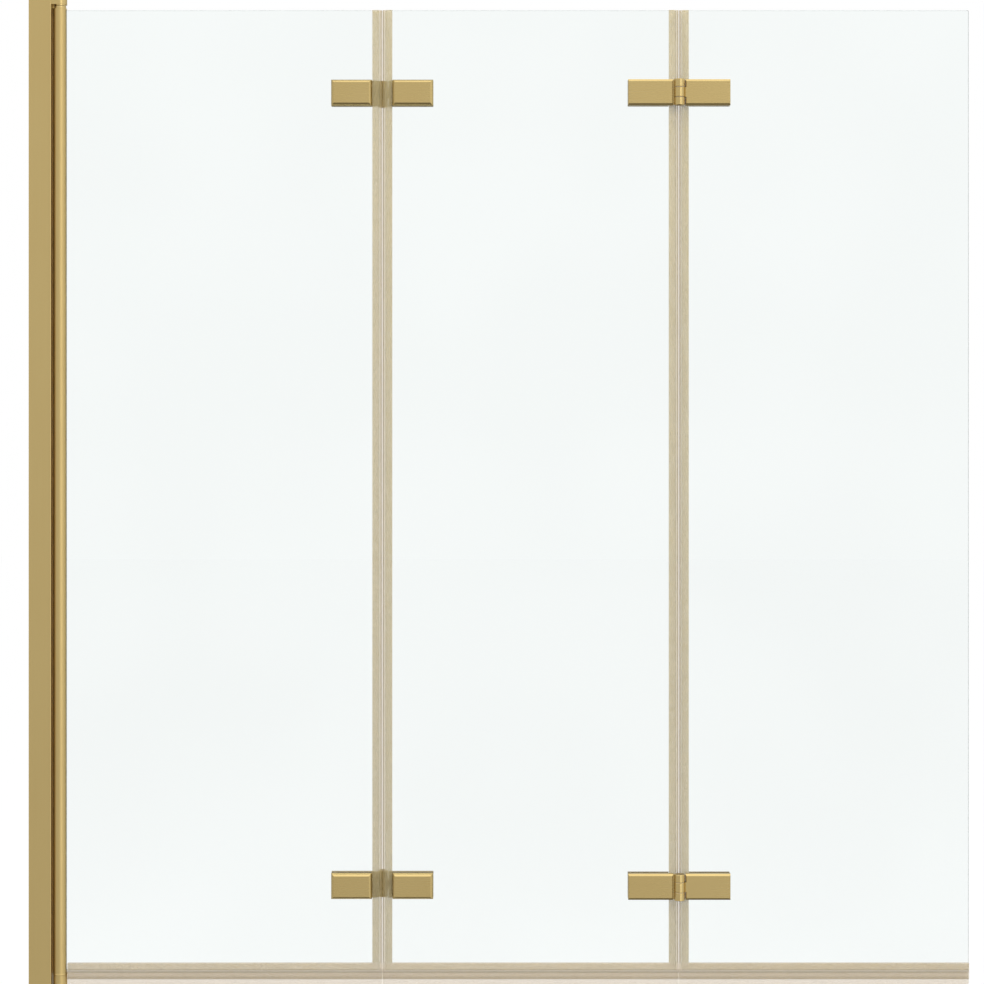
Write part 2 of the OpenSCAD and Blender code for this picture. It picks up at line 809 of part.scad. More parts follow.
// Plate with bevelled ends and bevelled long edges; a bevel is [width, depth]
module bevelled_plate(from, to, y0, y1, height, start, end, edge) {
    intersection() {
        along_z(-height / 2, height / 2) plate_outline(from, to, y0, y1, start, end);
        along_x(from, to) rotate(90) mirror([0, 1])
            bevelled_face(-height / 2, height / 2, y0, y1, edge);
    }
}

// Height and depth outline of a plate: square at the glass, bevelled at the outer face
module bevelled_face(z0, z1, y0, y1, edge) {
    polygon([
        [z0, y0], [z1, y0], [z1, y1 - edge[1]], [z1 - edge[0], y1],
        [z0 + edge[0], y1], [z0, y1 - edge[1]]
    ]);
}

// Plate of a leaf on the right of its seam, with the recess over the seal and the screw holes
module leaf_plate() {
    difference() {
        bevelled_plate(plate_s, hinge_reach, pad_y, leaf_y, hinge_h, [end_bevel, end_bevel],
            [end_bevel, end_bevel], [bevel_w, bevel_d]);
        translate([0, pad_y - cut, -hinge_h / 2 - cut])
            cube([cover_s, recess_y - pad_y + cut, hinge_h + 2 * cut]);
        for (s = SCREW_PLACES)
            hole_y(s, 0, clamp_screw_d + 2 * snug_fit, pad_y - cut, pad_y + screw_bite + part_gap);
    }
}

// Knuckle about the hinge axis between two heights
module knuckle(from, to) {
    translate([0, hinge_y, 0]) rotate_extrude() polygon([
        [0, from], [barrel_r - knuckle_edge, from], [barrel_r, from + knuckle_edge],
        [barrel_r, to - knuckle_edge], [barrel_r - knuckle_edge, to], [0, to]
    ]);
}

// Web between a knuckle and its plate, a step below the leaf's face
module low_web(from, to) {
    along_z(from, to) span(web_reach, recess_y, plate_s + end_bevel, leaf_y - web_step);
}

// Web between the middle knuckle and its plate, which runs up onto the barrel
module ramp_web(from, to) {
    along_z(from, to) polygon([
        [0, recess_y],
        [plate_s + end_bevel, recess_y],
        [plate_s + end_bevel, leaf_y],
        [barrel_r / cos(ramp_angle), leaf_y],
        [barrel_r * cos(ramp_angle), hinge_y + barrel_r * sin(ramp_angle)],
        [0, hinge_y]
    ]);
}

// Web beside the other leaf's knuckle, hollowed so that the knuckle turns in it
module seat_web(from, to) {
    difference() {
        along_z(from, to) span(barrel_r - web_step, recess_y, plate_s + end_bevel, leaf_y - web_step);
        translate([0, hinge_y, from - cut]) cylinder(r = barrel_r + part_gap, h = to - from + 2 * cut);
    }
}

// Leaf with the two outer knuckles, on the left of its seam
module left_leaf() {
    knuckle_z0 = hinge_h / 2 - outer_knuckle_h;
    difference() {
        union() {
            mirror([1, 0, 0]) {
                leaf_plate();
                seat_web(-knuckle_z0, knuckle_z0);
            }
            for (flip = [0, 1]) mirror([0, 0, flip]) {
                mirror([1, 0, 0]) low_web(knuckle_z0, hinge_h / 2 - web_step / 2);
                knuckle(knuckle_z0, hinge_h / 2);
            }
        }
        translate([0, hinge_y, -hinge_h / 2 - cut])
            cylinder(d = hinge_pin_d + 2 * snug_fit, h = hinge_h + 2 * cut);
    }
}

// Leaf with the middle knuckle, on the right of its seam
module right_leaf() {
    half = mid_knuckle_h / 2;
    difference() {
        union() {
            leaf_plate();
            ramp_web(-half, half);
            knuckle(-half, half);
        }
        translate([0, hinge_y, -half - cut])
            cylinder(d = hinge_pin_d + 2 * run_fit, h = mid_knuckle_h + 2 * cut);
    }
}

module leaf(seam, level, side) {
    color(brass) at_seam(seam) translate([0, 0, level]) {
        if (side == LEFT) left_leaf();
        else right_leaf();
    }
}

// Hollow cover over a clamp plate, on the right of its seam and in front of the glass
module cover_shell() {
    roof_y = pad_y + cover_t;
    difference() {
        intersection_for (slope = [cover_flank, cover_bevel])
            bevelled_plate(cover_s, hinge_reach, pad_y, roof_y, hinge_h, slope, slope, slope);
        bevelled_plate(cover_s + cover_wall, hinge_reach - cover_wall, pad_y - cut, roof_y - cover_wall,
            hinge_h - 2 * cover_wall, cover_hollow, cover_hollow, cover_hollow);
    }
}

module cover(seam, level, side) {
    color(brass) at_seam(seam) translate([0, 0, level]) mirror([0, 1, 0]) to_side(side) cover_shell();
}

// Clamp plate inside a cover, with countersunk holes
module clamp_plate() {
    edge = [plate_edge, plate_edge];
    difference() {
        bevelled_plate(cover_s + clamp_inset, hinge_reach - clamp_inset, pad_y, pad_y + clamp_t,
            hinge_h - 2 * clamp_inset, edge, edge, edge);
        for (s = SCREW_PLACES) {
            hole_y(s, 0, screw_pass_d, pad_y - cut, pad_y + clamp_t + cut);
            head_cone(s, 0);
        }
    }
}

// Cone of a countersunk head, flush with the clamp plate's face, and the cut above it
module head_cone(s, extra) {
    head_h = (clamp_head_d - clamp_screw_d) / 2;
    translate([s, pad_y + clamp_t - head_h, 0]) rotate([-90, 0, 0])
        cylinder(d1 = clamp_screw_d, d2 = clamp_head_d, h = head_h + extra);
}

// Clamp screw from the clamp plate through the glass into the leaf, with a hexagon socket
module clamp_screw(s) {
    tip_y = -pad_y - screw_bite;
    floor_y = pad_y + clamp_t - socket_depth;
    difference() {
        union() {
            head_cone(s, 0);
            hole_y(s, 0, clamp_screw_d, tip_y, pad_y + cut);
        }
        translate([s, floor_y, 0]) rotate([-90, 0, 0])
            cylinder(d = socket_d, h = socket_depth + cut, $fn = 6);
    }
}

// Gaskets on both faces of the glass; the one under the leaf has collars through the glass
module gasket_pair() {
    half = glass_t / 2;
    for (face = [0, 1]) mirror([0, face, 0]) difference() {
        union() {
            translate([cover_s + gasket_inset, half, -hinge_h / 2 + gasket_inset])
                cube([hinge_reach - cover_s - 2 * gasket_inset, hinge_gasket_t, hinge_h - 2 * gasket_inset]);
            if (face == 0) for (s = SCREW_PLACES)
                hole_y(s, 0, collar_d, -half + part_gap, half + hinge_gasket_t / 2);
        }
        for (s = SCREW_PLACES) hole_y(s, 0, screw_pass_d, -half - cut, half + hinge_gasket_t + cut);
    }
}

// Places a hinge detail at all hinges on the listed ends of a panel
module at_ends(ends) {
    for (end = ends, z = HINGE_LEVELS)
        at_seam(end[0]) translate([0, 0, z]) to_side(end[1]) children();
}

module clamp_plates(ends) {
    color(steel) at_ends(ends) mirror([0, 1, 0]) clamp_plate();
}

module clamp_screws(ends) {
    color(steel) at_ends(ends) mirror([0, 1, 0]) for (s = SCREW_PLACES) clamp_screw(s);
}

module hinge_gaskets(ends) {
    color(rubber) at_ends(ends) gasket_pair();
}

module hinge_pin(seam, level) {
    color(steel) at_seam(seam) translate([0, hinge_y, level])
        round_pin(hinge_pin_d, -hinge_h / 2 + pin_recess, hinge_h / 2 - pin_recess);
}

// Washers under the outer knuckles of both hinges of a seam
module washers(seam) {
    top_z = hinge_h / 2 - outer_knuckle_h;
    color(nylon) at_seam(seam) for (level = HINGE_LEVELS) translate([0, hinge_y, level])
        for (flip = [0, 1]) mirror([0, 0, flip]) translate([0, 0, top_z - washer_t]) difference() {
            cylinder(r = washer_r, h = washer_t);
            translate([0, 0, -cut]) cylinder(d = hinge_pin_d + 2 * run_fit, h = washer_t + 2 * cut);
        }
}

wall_channel();
carrier_profile();
side_screws();
side_screw_caps();
pivot_wiper();
top_bracket();
bottom_bracket();
top_bush();
bottom_bush();
bracket_screws();
pivot_tube();
tube_top_cap();
tube_bottom_cap();
top_pivot_pin();
bottom_pivot_pin();
tube_gasket();
glass_1();
glass_2();
glass_3();
seam_seal(1, LEFT);  // seam_1_left_seal
seam_seal(1, RIGHT);  // seam_1_right_seal
seam_seal(2, LEFT);  // seam_2_left_seal
seam_seal(2, RIGHT);  // seam_2_right_seal
bottom_seal(axis_x + tube_r + part_gap, seam_1 - seam_play);  // bottom_seal_1
bottom_seal(seam_1 + seam_play, seam_2 - seam_play);  // bottom_seal_2
bottom_seal(seam_2 + seam_play, free_edge);  // bottom_seal_3
leaf(1, hinge_top_z, LEFT);  // seam_1_top_left_leaf
leaf(1, hinge_top_z, RIGHT);  // seam_1_top_right_leaf
leaf(1, hinge_bottom_z, LEFT);  // seam_1_bottom_left_leaf
leaf(1, hinge_bottom_z, RIGHT);  // seam_1_bottom_right_leaf
leaf(2, hinge_top_z, LEFT);  // seam_2_top_left_leaf
leaf(2, hinge_top_z, RIGHT);  // seam_2_top_right_leaf
leaf(2, hinge_bottom_z, LEFT);  // seam_2_bottom_left_leaf
leaf(2, hinge_bottom_z, RIGHT);  // seam_2_bottom_right_leaf
cover(1, hinge_top_z, LEFT);  // seam_1_top_left_cover
cover(1, hinge_top_z, RIGHT);  // seam_1_top_right_cover
cover(1, hinge_bottom_z, LEFT);  // seam_1_bottom_left_cover
cover(1, hinge_bottom_z, RIGHT);  // seam_1_bottom_right_cover
cover(2, hinge_top_z, LEFT);  // seam_2_top_left_cover
cover(2, hinge_top_z, RIGHT);  // seam_2_top_right_cover
cover(2, hinge_bottom_z, LEFT);  // seam_2_bottom_left_cover
cover(2, hinge_bottom_z, RIGHT);  // seam_2_bottom_right_cover
hinge_pin(1, hinge_top_z);  // seam_1_top_pin
hinge_pin(1, hinge_bottom_z);  // seam_1_bottom_pin
hinge_pin(2, hinge_top_z);  // seam_2_top_pin
hinge_pin(2, hinge_bottom_z);  // seam_2_bottom_pin
washers(1);  // seam_1_washers
washers(2);  // seam_2_washers
clamp_plates(PANEL_1_ENDS);  // panel_1_clamp_plates
clamp_plates(PANEL_2_ENDS);  // panel_2_clamp_plates
clamp_plates(PANEL_3_ENDS);  // panel_3_clamp_plates
clamp_screws(PANEL_1_ENDS);  // panel_1_clamp_screws
clamp_screws(PANEL_2_ENDS);  // panel_2_clamp_screws
clamp_screws(PANEL_3_ENDS);  // panel_3_clamp_screws
hinge_gaskets(PANEL_1_ENDS);  // panel_1_hinge_gaskets
hinge_gaskets(PANEL_2_ENDS);  // panel_2_hinge_gaskets
hinge_gaskets(PANEL_3_ENDS);  // panel_3_hinge_gaskets
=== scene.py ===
"""Folding bath screen: finishes, small visible pieces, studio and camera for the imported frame.

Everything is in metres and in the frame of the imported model: the wall is the plane x = 0, the glass
stands in the plane y = 0, the viewer stands at -Y and z = 0 is the rim under the screen.
"""

import logging
import math
from dataclasses import dataclass, field, replace
from enum import Enum
from typing import Any, ClassVar, Iterable, Protocol, Sequence, TypeAlias

import bmesh
import bpy
from mathutils import Matrix, Vector


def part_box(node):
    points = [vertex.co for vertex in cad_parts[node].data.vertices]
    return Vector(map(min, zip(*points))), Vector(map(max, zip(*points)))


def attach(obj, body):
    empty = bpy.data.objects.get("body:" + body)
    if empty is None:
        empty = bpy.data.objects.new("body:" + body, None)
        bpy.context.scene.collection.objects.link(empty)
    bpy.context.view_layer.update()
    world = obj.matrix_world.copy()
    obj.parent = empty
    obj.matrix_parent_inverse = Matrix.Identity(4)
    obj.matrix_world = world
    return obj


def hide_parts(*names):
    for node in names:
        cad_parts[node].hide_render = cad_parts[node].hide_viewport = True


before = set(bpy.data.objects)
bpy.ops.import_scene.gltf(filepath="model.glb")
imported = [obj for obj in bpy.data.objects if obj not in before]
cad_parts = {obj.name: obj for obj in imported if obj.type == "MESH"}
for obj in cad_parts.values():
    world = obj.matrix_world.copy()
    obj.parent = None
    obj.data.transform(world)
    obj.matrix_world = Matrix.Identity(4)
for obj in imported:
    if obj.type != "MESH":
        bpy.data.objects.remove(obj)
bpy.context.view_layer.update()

LOG = logging.getLogger("bath_screen")
MM = 0.001
Colour: TypeAlias = tuple[float, float, float]
Point: TypeAlias = tuple[float, float, float]
Pair: TypeAlias = tuple[float, float]
# Where a smooth step starts and ends, and its levels before and after
Ramp: TypeAlias = tuple[float, float, float, float]
Value: TypeAlias = "Signal | float"

# The part of a noise's range that most of its values fill, and a wider one for a softer change
BAND: Pair = (0.35, 0.65)
WIDE_BAND: Pair = (0.3, 0.7)
NOISE_ROUGHNESS = 0.55

# Sockets of a Mix node that mixes colours, where names alone would find those for numbers
MIX_SHARE, MIX_FIRST, MIX_SECOND, MIX_RESULT = 0, 6, 7, 2


# ---- Shader maths ----


class Signal:
    """A value that varies over a surface: one output socket, with Python's arithmetic on it."""

    def __init__(self, graph: "Graph", socket: bpy.types.NodeSocket) -> None:
        """Wraps a socket.

        Args:
            graph: The graph that the socket belongs to.
            socket: The output socket to wrap.
        """
        self.graph = graph
        self.socket = socket

    def _math(self, operation: str, first: Value, second: Value = 0.0) -> "Signal":
        """Adds one Math node.

        Args:
            operation: The node's operation.
            first: Its first value.
            second: Its second value.

        Returns:
            The node's result.
        """
        return self.graph.signal("ShaderNodeMath", {0: first, 1: second}, operation=operation)

    def __add__(self, other: Value) -> "Signal":
        """Sum."""
        return self._math("ADD", self, other)

    def __radd__(self, other: float) -> "Signal":
        """Sum, with the number first."""
        return self._math("ADD", other, self)

    def __sub__(self, other: Value) -> "Signal":
        """Difference."""
        return self._math("SUBTRACT", self, other)

    def __rsub__(self, other: float) -> "Signal":
        """Difference, with the number first."""
        return self._math("SUBTRACT", other, self)

    def __mul__(self, other: Value) -> "Signal":
        """Product."""
        return self._math("MULTIPLY", self, other)

    def __rmul__(self, other: float) -> "Signal":
        """Product, with the number first."""
        return self._math("MULTIPLY", other, self)

    def size(self) -> "Signal":
        """Absolute value."""
        return self._math("ABSOLUTE", self)

    def at_least(self, other: Value) -> "Signal":
        """The larger of this and another value."""
        return self._math("MAXIMUM", self, other)

    def mixed(self, other: "Signal", share: float) -> "Signal":
        """Mean of this and another value, with the other's share."""
        return self * (1.0 - share) + other * share

    def ramp(self, low: float, high: float, start: float = 0.0, end: float = 1.0) -> "Signal":
        """Smooth step from one level to another.

        Args:
            low: Value at which the step starts.
            high: Value at which the step ends.
            start: Result up to low.
            end: Result from high.

        Returns:
            The stepped value.
        """
        inputs = {"Value": self, "From Min": low, "From Max": high, "To Min": start, "To Max": end}
        return self.graph.signal("ShaderNodeMapRange", inputs, interpolation_type="SMOOTHSTEP")


class Graph:
    """A node tree that is filled by one method."""

    def __init__(self, tree: bpy.types.NodeTree) -> None:
        """Empties a node tree.

        Args:
            tree: The tree to fill.
        """
        self.tree = tree
        tree.nodes.clear()

    def node(self, kind: str, inputs: dict[Any, Any] | None = None, **settings: Any) -> bpy.types.Node:
        """Adds a node.

        Args:
            kind: The node's type.
            inputs: The values or links of its sockets, by name or number.
            **settings: Its attributes, set before its sockets.

        Returns:
            The new node.
        """
        made = self.tree.nodes.new(kind)
        for key, value in settings.items():
            setattr(made, key, value)
        for key, value in (inputs or {}).items():
            if isinstance(value, Signal):
                self.tree.links.new(value.socket, made.inputs[key])
            elif isinstance(value, bpy.types.NodeSocket):
                self.tree.links.new(value, made.inputs[key])
            else:
                made.inputs[key].default_value = value
        return made

    def signal(
        self, kind: str, inputs: dict[Any, Any] | None = None, output: int | str = 0, **settings: Any
    ) -> Signal:
        """Adds a node and wraps one of its results.

        Args:
            kind: The node's type.
            inputs: The values or links of its sockets, by name or number.
            output: Name or number of the result.
            **settings: Its attributes.

        Returns:
            The result.
        """
        return Signal(self, self.node(kind, inputs, **settings).outputs[output])

    def noise(self, scale: Sequence[float], detail: float = 2.0) -> Signal:
        """Noise on Object coordinates.

        Args:
            scale: Waves per metre along X, Y and Z.
            detail: Number of finer layers.

        Returns:
            The noise, from 0 to 1.
        """
        place = self.node("ShaderNodeTexCoord").outputs["Object"]
        mapped = self.node("ShaderNodeMapping", {"Vector": place, "Scale": tuple(scale)}).outputs[0]
        inputs = {"Vector": mapped, "Scale": 1.0, "Detail": detail, "Roughness": NOISE_ROUGHNESS}
        return self.signal("ShaderNodeTexNoise", inputs)

    def parts(self, coordinates: str) -> tuple[Signal, Signal, Signal]:
        """Splits a point's coordinates.

        Args:
            coordinates: Their kind, which is Object, in metres, or Generated for the world.

        Returns:
            X, Y and Z.
        """
        vector = self.node("ShaderNodeTexCoord").outputs[coordinates]
        split = self.node("ShaderNodeSeparateXYZ", {0: vector})
        return tuple(Signal(self, split.outputs[i]) for i in range(3))

    def ray(self, fact: str) -> Signal:
        """A fact about the ray that reaches the surface."""
        return self.signal("ShaderNodeLightPath", output=fact)

    def seen(self) -> Signal:
        """1 where the camera looks directly or through glass, and 0 in mirrors and for other light."""
        direct = 1.0 - self.ray("Glossy Depth").ramp(0.0, 1.0)
        return self.ray("Is Camera Ray").at_least(self.ray("Is Transmission Ray") * direct)

    def mix(self, share: Value, first: Any, second: Any) -> bpy.types.NodeSocket:
        """Mixes two colours.

        Args:
            share: Share of the second colour.
            first: A colour or a colour socket.
            second: A colour or a colour socket.

        Returns:
            The mixed colour.
        """
        first, second = (c if isinstance(c, bpy.types.NodeSocket) else (*c, 1.0) for c in (first, second))
        inputs = {MIX_SHARE: share, MIX_FIRST: first, MIX_SECOND: second}
        return self.node("ShaderNodeMix", inputs, data_type="RGBA").outputs[MIX_RESULT]

    def blend(self, share: Value, first: bpy.types.Node, second: bpy.types.Node) -> bpy.types.Node:
        """Blends two shaders, with the share of the second."""
        inputs = {0: share, 1: first.outputs[0], 2: second.outputs[0]}
        return self.node("ShaderNodeMixShader", inputs)

    def bump(self, height: Signal, depth: float, strength: float) -> bpy.types.NodeSocket:
        """Relief from a height.

        Args:
            height: The height, from 0 to 1.
            depth: Depth of the relief in metres.
            strength: How much of it shows.

        Returns:
            The normal.
        """
        inputs = {"Height": height, "Distance": depth, "Strength": strength}
        return self.node("ShaderNodeBump", inputs).outputs[0]

    def show(self, shader: bpy.types.Node, output: str = "ShaderNodeOutputMaterial") -> None:
        """Links a shader to the tree's output."""
        self.node(output, {"Surface": shader.outputs[0]})


def new_material(name: str) -> tuple[bpy.types.Material, Graph]:
    """Makes an empty material.

    Args:
        name: Its name.

    Returns:
        The material and its graph.
    """
    material = bpy.data.materials.new(name)
    material.use_nodes = True
    return material, Graph(material.node_tree)


def darker(tone: Colour, share: float) -> Colour:
    """A share of a tone."""
    return tuple(c * share for c in tone)


# ---- Finishes ----


class Finish(Protocol):
    """What a piece can be dressed in."""

    def build(self) -> bpy.types.Material:
        """Makes the material."""


class Run(Enum):
    """Direction in which a piece was drawn or brushed, as lines per metre along X, Y and Z."""

    ALONG_X = (14.0, 1900.0, 1900.0)
    ALONG_Y = (1900.0, 14.0, 1900.0)
    ALONG_Z = (1900.0, 1900.0, 5.0)


@dataclass(frozen=True)
class SatinMetal:
    """Satin metal with fine lines along its run, cloudy gloss and a slight change of tone.

    Attributes:
        name: Name of the material.
        tone: Colour of the metal.
        deep_tone: Colour where the finish is a little deeper.
        run: Direction of the fine lines.
        gloss: Roughness.
        line_depth: Depth of the fine lines in metres.
        line_share: Share of the fine lines in the change of tone.
        CLOUDS: Clouds per metre along X, Y and Z.
        GRAINS: Grains per metre along X, Y and Z.
        GRAIN_SHARE: Share of the grains in the change of tone.
        GLOSS_LINES: Share of the fine lines in the change of gloss.
        DULLER: What the dullest places add to the roughness.
        SHINIER: What the shiniest places take from it.
        RELIEF_GRAINS: Share of the grains in the relief.
        RELIEF: How much of the relief shows.
    """

    name: str
    tone: Colour
    deep_tone: Colour
    run: Run
    gloss: float
    line_depth: float = 0.00002
    line_share: float = 0.3

    CLOUDS: ClassVar[Point] = (9.0, 9.0, 5.0)
    GRAINS: ClassVar[Point] = (2600.0, 2600.0, 2600.0)
    GRAIN_SHARE: ClassVar[float] = 0.15
    GLOSS_LINES: ClassVar[float] = 0.5
    DULLER: ClassVar[float] = 0.04
    SHINIER: ClassVar[float] = 0.03
    RELIEF_GRAINS: ClassVar[float] = 0.2
    RELIEF: ClassVar[float] = 0.35

    def build(self) -> bpy.types.Material:
        """Makes the material.

        Returns:
            The material.
        """
        material, g = new_material(self.name)
        lines = g.noise(self.run.value, detail=3.0)
        clouds = g.noise(self.CLOUDS, detail=3.0)
        grains = g.noise(self.GRAINS, detail=1.0)
        cloud_share = 1.0 - self.GRAIN_SHARE - self.line_share
        shade = clouds * cloud_share + lines * self.line_share + grains * self.GRAIN_SHARE
        sheen = clouds.mixed(lines, self.GLOSS_LINES)
        inputs = {
            "Base Color": g.mix(shade.ramp(*BAND), self.deep_tone, self.tone),
            "Metallic": 1.0,
            "Roughness": sheen.ramp(*WIDE_BAND, self.gloss + self.DULLER, self.gloss - self.SHINIER),
            "Normal": g.bump(lines.mixed(grains, self.RELIEF_GRAINS), self.line_depth, self.RELIEF),
        }
        g.show(g.node("ShaderNodeBsdfPrincipled", inputs, distribution="MULTI_GGX"))
        return material


@dataclass(frozen=True)
class ClearGlass:
    """Clear toughened glass whose satin edge shows its green from outside.

    Attributes:
        name: Name of the material.
        centre: Middle of the sheet along X and Z.
        half: Half of the sheet's width and height.
        tint: Colour of the light that comes through the face.
        rim_tint: Colour of the light that comes through the edge.
        rim: Width in metres in which the face becomes the edge.
        edge_tone: Colour of the edge's satin.
        edge_share: Share of the satin on the edge.
        WAVES: Faint waves of tint per metre along X, Y and Z.
        DEEP_TINT: Share of the tint where the waves are deepest.
        DEEP_EDGE: Share of the satin's colour where the waves are deepest.
        EDGE_STEP: Share of the rim's width in which its looks change.
        FACE_GLOSS: Roughness of the face.
        EDGE_GLOSS: What the edge adds to it.
        SATIN_GLOSS: Roughness of the satin.
    """

    name: str
    centre: Pair
    half: Pair
    tint: Colour = (0.935, 0.968, 0.958)
    rim_tint: Colour = (0.985, 0.995, 0.99)
    rim: float = 0.00025
    edge_tone: Colour = (0.36, 0.58, 0.50)
    edge_share: float = 0.6

    WAVES: ClassVar[Point] = (3.0, 3.0, 3.0)
    DEEP_TINT: ClassVar[float] = 0.985
    DEEP_EDGE: ClassVar[float] = 0.9
    EDGE_STEP: ClassVar[float] = 0.8
    FACE_GLOSS: ClassVar[float] = 0.005
    EDGE_GLOSS: ClassVar[float] = 0.08
    SATIN_GLOSS: ClassVar[float] = 0.3

    def build(self) -> bpy.types.Material:
        """Makes the material.

        Returns:
            The material.
        """
        material, g = new_material(self.name)
        rim = self._rim(g)
        waves = g.noise(self.WAVES, detail=1.0).ramp(*BAND)
        face = g.mix(waves, self.tint, darker(self.tint, self.DEEP_TINT))
        inputs = {
            "Base Color": g.mix(rim, face, self.rim_tint),
            "Roughness": rim * self.EDGE_GLOSS + self.FACE_GLOSS,
            "IOR": 1.5,
            "Transmission Weight": 1.0,
        }
        clear = g.node("ShaderNodeBsdfPrincipled", inputs)
        green = g.mix(waves, self.edge_tone, darker(self.edge_tone, self.DEEP_EDGE))
        satin = g.node("ShaderNodeBsdfPrincipled", {"Base Color": green, "Roughness": self.SATIN_GLOSS})
        outside = 1.0 - g.signal("ShaderNodeNewGeometry", output="Backfacing")
        edged = g.blend(rim * outside * self.edge_share, clear, satin)
        lamplight = g.node("ShaderNodeBsdfTransparent", {"Color": (*self.tint, 1.0)})
        g.show(g.blend(g.ray("Is Shadow Ray"), edged, lamplight))
        return material

    def _rim(self, g: Graph) -> Signal:
        """Where the surface is the sheet's edge.

        Args:
            g: The material's graph.

        Returns:
            0 on the face and 1 on the edge.
        """
        x, _, z = g.parts("Object")
        past_x = (x - self.centre[0]).size() - (self.half[0] - self.rim)
        past_z = (z - self.centre[1]).size() - (self.half[1] - self.rim)
        return past_x.at_least(past_z).ramp(0.0, self.rim * self.EDGE_STEP)


@dataclass(frozen=True)
class SoftPvc:
    """Translucent soft PVC with draw lines along its run, darker where it is thicker and where shade is
    painted on it.

    Attributes:
        name: Name of the material.
        tone: Colour of the plastic.
        thick_shaded_tone: Colour where it is thicker and where shade is painted on it.
        run: Direction of the draw lines.
        thick_shaded: Heights between which the clip is thicker and has a painted darker band.
        line: Height of the thin floor of the chamber, under which the fins begin and along which a shadow
            line is painted.
        seams: Places of the seams, where the soft bulbs are and where shade is painted between them.
        cover: Share of light that each face stops.
        extra: Share that it stops besides, by the mask of thicker plastic and painted shade.
        fin_cover: Share that each face stops on the fins.
        gloss: Roughness.
        FINENESS: Draw lines for each line of a metal's run.
        CLOUDS: Clouds per metre along X, Y and Z.
        DEEP: Share of the tone where it is deepest.
        TONE_LINES: Share of the draw lines in the change of tone.
        GLOSS_SPREAD: Change of the roughness to either side.
        COVER_SPREAD: Change of the cover to either side.
        LINE_DEPTH: Depth of the draw lines in metres.
        RELIEF: How much of them shows.
        FIN_STEP: Height to either side of the line in which the fins' cover changes to the wall's.
        SOFT: Height to either side of a limit in which the thickness and the painted shade change.
        THICK_SHADE_LEVELS: Thickness with painted shade, under the clip band and in it.
        SHADOW_LINE: Painted shadow line, by the distance from the floor line.
        BULB_SHADE: Thickness of the bulbs with painted shade between them, by the distance from a seam.
    """

    name: str
    tone: Colour
    thick_shaded_tone: Colour
    run: Run
    thick_shaded: Pair = (-1.1, -1.0)
    line: float = -2.0
    seams: tuple[float, ...] = ()
    cover: float = 0.27
    extra: float = 0.14
    fin_cover: float = 0.18
    gloss: float = 0.38

    FINENESS: ClassVar[float] = 0.45
    CLOUDS: ClassVar[Point] = (22.0, 22.0, 14.0)
    DEEP: ClassVar[float] = 0.96
    TONE_LINES: ClassVar[float] = 0.4
    GLOSS_SPREAD: ClassVar[float] = 0.05
    COVER_SPREAD: ClassVar[float] = 0.012
    LINE_DEPTH: ClassVar[float] = 0.00003
    RELIEF: ClassVar[float] = 0.3
    FIN_STEP: ClassVar[float] = 0.8 * MM
    SOFT: ClassVar[float] = 0.3 * MM
    # Levels of the darker tone: thicker plastic with painted shade on the clip band, a painted shadow
    # line along the floor line, and thicker bulbs with painted shade between them at the seams.
    THICK_SHADE_LEVELS: ClassVar[Pair] = (0.3, 0.9)
    SHADOW_LINE: ClassVar[Ramp] = (0.45 * MM, 0.9 * MM, 1.8, 0.0)
    BULB_SHADE: ClassVar[Ramp] = (2.4 * MM, 3.2 * MM, 0.5, 0.0)

    def build(self) -> bpy.types.Material:
        """Makes the material.

        Returns:
            The material.
        """
        material, g = new_material(self.name)
        lines = g.noise(tuple(s * self.FINENESS for s in self.run.value))
        clouds = g.noise(self.CLOUDS)
        shade = clouds.mixed(lines, self.TONE_LINES).ramp(*BAND)
        plain = g.mix(shade, darker(self.tone, self.DEEP), self.tone)
        # Mask for the darker tone and the extra cover: thicker plastic, with painted shade on the clip,
        # along the floor line and at the seams.
        thick_shaded = self._thickness_and_shade(g)
        _, _, z = g.parts("Object")
        wall = z.ramp(self.line - self.FIN_STEP, self.line + self.FIN_STEP, self.fin_cover, self.cover)
        streaks = lines.ramp(*WIDE_BAND, -self.COVER_SPREAD, self.COVER_SPREAD)
        dull, shiny = self.gloss + self.GLOSS_SPREAD, self.gloss - self.GLOSS_SPREAD
        inputs = {
            "Base Color": g.mix(thick_shaded, plain, self.thick_shaded_tone),
            "Roughness": lines.ramp(*WIDE_BAND, dull, shiny),
            "IOR": 1.4,
            "Alpha": wall + thick_shaded * self.extra + streaks,
            "Normal": g.bump(lines, self.LINE_DEPTH, self.RELIEF),
        }
        g.show(g.node("ShaderNodeBsdfPrincipled", inputs))
        return material

    def _thickness_and_shade(self, g: Graph) -> Signal:
        """The plastic's thickness at a point, with painted shade added.

        Args:
            g: The material's graph.

        Returns:
            The mask, which is 0 where the plastic is thin and unshaded and can pass 1 on ribs, bulbs and
            the painted shadow line.
        """
        x, _, z = g.parts("Object")
        low, high = self.thick_shaded
        under = z.ramp(high - self.SOFT, high + self.SOFT, 1.0, 0.0)
        # Band on the clip that is thicker and has painted shade.
        clip = z.ramp(low - self.SOFT, low + self.SOFT, *self.THICK_SHADE_LEVELS)
        share = clip * z.ramp(self.line, self.line + self.SOFT) * under
        # Painted shadow line along the chamber's floor.
        share = share + (z - self.line).size().ramp(*self.SHADOW_LINE)
        # Thicker bulbs with painted shade between them at each seam.
        for seam in self.seams:
            share = share + (x - seam).size().ramp(*self.BULB_SHADE)
        return share


